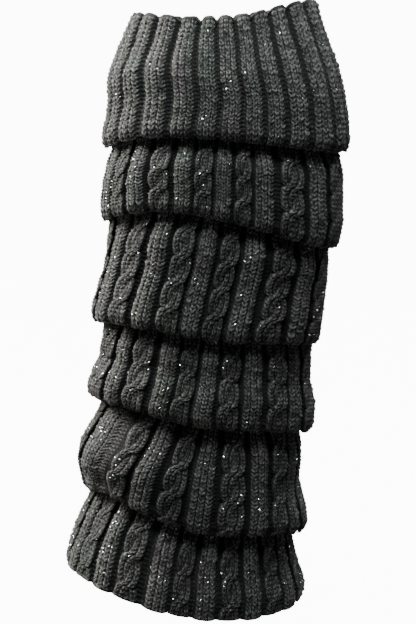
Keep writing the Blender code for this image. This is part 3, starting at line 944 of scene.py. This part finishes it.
def silver_material():
    """Bright metal foil with faint scratches in its roughness."""
    material, nodes, links, shader = new_finish("silver thread")
    shader.inputs["Base Color"].default_value = (0.75, 0.77, 0.78, 1)
    shader.inputs["Metallic"].default_value = 1.0
    where = nodes.new("ShaderNodeTexCoord")
    scratches = nodes.new("ShaderNodeTexNoise")
    scratches.inputs["Scale"].default_value = 900.0
    amount = nodes.new("ShaderNodeMapRange")
    amount.inputs["To Min"].default_value = 0.15
    amount.inputs["To Max"].default_value = 0.35
    links.new(where.outputs["Object"], scratches.inputs["Vector"])
    links.new(scratches.outputs["Fac"], amount.inputs["Value"])
    links.new(amount.outputs["Result"], shader.inputs["Roughness"])
    return material


silver_thread = ribbon_mesh("silver_thread", fleck_points(), silver_material())
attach(silver_thread, "root")


# =====================================================================================================
# Loose fibres. Short ends of the spun yarn, one from a stitch here and there, that stand off the knit and
# make it fluffy. Each is spun into its strand at one end.
# =====================================================================================================

FIBRE = namedtuple("Fibre", "length width")(2.4, 0.06)
FIBRES_IN = {"top_cuff": 3600, "fold_tier_2": 2200, "fold_tier_3": 2600, "fold_tier_4": 2200,
             "fold_tier_5": 2600, "hem_tier": 2400}


def fibre_points():
    """Thin ribbons that rise from the stitches and bend over: out for a third, then a seeded way aside."""
    rng = np.random.default_rng(19)
    ribbons = []
    for node, count in FIBRES_IN.items():
        tops = np.concatenate(TOPS[node], axis=1)
        root, along, out = tops[:, rng.choice(tops.shape[1], count)]
        turn = rng.uniform(0, 2 * np.pi, (count, 1))
        aside = along * np.cos(turn) + np.cross(out, along) * np.sin(turn)
        across = np.cross(out, aside)
        length = FIBRE.length * rng.uniform(0.3, 1.0, (count, 1))
        corners = []
        for rise, reach, width in ((-0.1, 0.0, 1.0), (0.3, 0.3, 0.8), (0.42, 0.85, 0.2)):
            spot = root + length * (out * rise + aside * reach)
            corners += [spot - across * FIBRE.width * width / 2, spot + across * FIBRE.width * width / 2]
        ribbons.append(np.stack(corners, axis=1))
    return np.concatenate(ribbons)


def fibre_material():
    """Single fibres of the yarn: grey and dull, with a noise that makes some paler than others."""
    material, nodes, links, shader = new_finish("loose fibre")
    shader.inputs["Specular IOR Level"].default_value = 0.3
    where = nodes.new("ShaderNodeTexCoord")
    spots = nodes.new("ShaderNodeTexNoise")
    spots.inputs["Scale"].default_value = 300.0
    shade = nodes.new("ShaderNodeValToRGB")
    shade.color_ramp.elements[0].position = 0.35
    shade.color_ramp.elements[0].color = (0.03, 0.03, 0.03, 1)
    shade.color_ramp.elements[1].position = 0.7
    shade.color_ramp.elements[1].color = (0.16, 0.16, 0.155, 1)
    links.new(where.outputs["Object"], spots.inputs["Vector"])
    links.new(spots.outputs["Fac"], shade.inputs["Fac"])
    links.new(shade.outputs["Color"], shader.inputs["Base Color"])
    shader.inputs["Roughness"].default_value = 0.85
    return material


loose_fibres = ribbon_mesh("loose_fibres", fibre_points(), fibre_material())
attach(loose_fibres, "root")


# =====================================================================================================
# Studio. A pale floor some way below the hem, a large soft light high at the left, weaker ones above the
# front and behind the right side, and a camera that looks down a little and is tilted to one side.
# =====================================================================================================

FLOOR_DROP = 0.07       # metres below the hem
FLOOR_RADIUS = 3.0
BACKDROP_GLOW = 12.0    # how bright the floor and the background look to the camera
ROOM_GLOW = 0.08        # how bright the rest of the room is
TARGET = np.array([0.0, 0.0, -0.158])
CAMERA_DISTANCE = 1.05
CAMERA_ELEVATION = np.radians(12.0)
CAMERA_ROLL = np.radians(4.2)
CAMERA_LENS = 102.1     # millimetres on a 36 mm long side


def floor_material():
    """Pale matt floor, which glows for the camera alone, so that it looks as pale as the background."""
    material, nodes, links, shader = new_finish("pale floor")
    shader.inputs["Base Color"].default_value = (0.1, 0.1, 0.1, 1)
    shader.inputs["Roughness"].default_value = 0.9
    glow = nodes.new("ShaderNodeEmission")
    glow.inputs["Strength"].default_value = BACKDROP_GLOW
    ray = nodes.new("ShaderNodeLightPath")
    both = nodes.new("ShaderNodeAddShader")
    pick = nodes.new("ShaderNodeMixShader")
    links.new(shader.outputs["BSDF"], both.inputs[0])
    links.new(glow.outputs["Emission"], both.inputs[1])
    links.new(ray.outputs["Is Camera Ray"], pick.inputs["Fac"])
    links.new(shader.outputs["BSDF"], pick.inputs[1])
    links.new(both.outputs["Shader"], pick.inputs[2])
    links.new(pick.outputs["Shader"], nodes["Material Output"].inputs["Surface"])
    return material


def soft_light(name, azimuth, elevation, distance, size, power, color):
    """An area light that faces the tube from an azimuth, 0 in front and growing to the left."""
    data = bpy.data.lights.new(name, "AREA")
    data.shape = "RECTANGLE"
    data.size, data.size_y = size
    data.energy = power
    data.color = color
    light = in_scene(name, data)
    level = np.cos(elevation)
    away = np.array([-np.sin(azimuth) * level, -np.cos(azimuth) * level, np.sin(elevation)])
    light.location = TARGET + distance * away
    light.rotation_euler = (np.pi / 2 - elevation, 0.0, -azimuth)


around = np.linspace(0, 2 * np.pi, 64, endpoint=False)
floor_height = solid_box[0][2] - FLOOR_DROP
ring = np.stack(
    [FLOOR_RADIUS * np.cos(around), FLOOR_RADIUS * np.sin(around), 0 * around + floor_height], axis=-1)
floor_mesh = bpy.data.meshes.new("studio_floor")
floor_mesh.from_pydata(ring, [], [list(range(len(ring)))])
floor_mesh.materials.append(floor_material())
studio_floor = in_scene("studio_floor", floor_mesh)

soft_light("window", np.radians(108), np.radians(34), 1.25, (0.5, 0.8), 73.0, (1.0, 0.96, 0.91))
soft_light("room", np.radians(12), np.radians(64), 0.8, (0.4, 0.35), 11.0, (0.94, 1.0, 0.99))
soft_light("back", np.radians(-152), np.radians(30), 1.25, (0.6, 0.8), 18.0, (1.0, 1.0, 1.0))

world = bpy.data.worlds.new("studio")
world.use_nodes = True
bpy.context.scene.world = world
background = world.node_tree.nodes["Background"]
seen = world.node_tree.nodes.new("ShaderNodeBackground")
seen.inputs["Color"].default_value = (1, 1, 1, 1)
seen.inputs["Strength"].default_value = BACKDROP_GLOW
background.inputs["Color"].default_value = (0.9, 0.95, 1.0, 1)
background.inputs["Strength"].default_value = ROOM_GLOW
ray = world.node_tree.nodes.new("ShaderNodeLightPath")
pick = world.node_tree.nodes.new("ShaderNodeMixShader")
world_links = world.node_tree.links
world_links.new(ray.outputs["Is Camera Ray"], pick.inputs["Fac"])
world_links.new(background.outputs["Background"], pick.inputs[1])
world_links.new(seen.outputs["Background"], pick.inputs[2])
world_links.new(pick.outputs["Shader"], world.node_tree.nodes["World Output"].inputs["Surface"])

camera_data = bpy.data.cameras.new("camera")
camera_data.lens = CAMERA_LENS
camera = in_scene("camera", camera_data)
camera.rotation_mode = "QUATERNION"
backward = np.array([0.0, -np.cos(CAMERA_ELEVATION), np.sin(CAMERA_ELEVATION)])
camera.location = TARGET + CAMERA_DISTANCE * backward
look = (-Vector(backward)).to_track_quat("-Z", "Y")
camera.rotation_quaternion = look @ Matrix.Rotation(CAMERA_ROLL, 3, "Z").to_quaternion()
bpy.context.scene.camera = camera
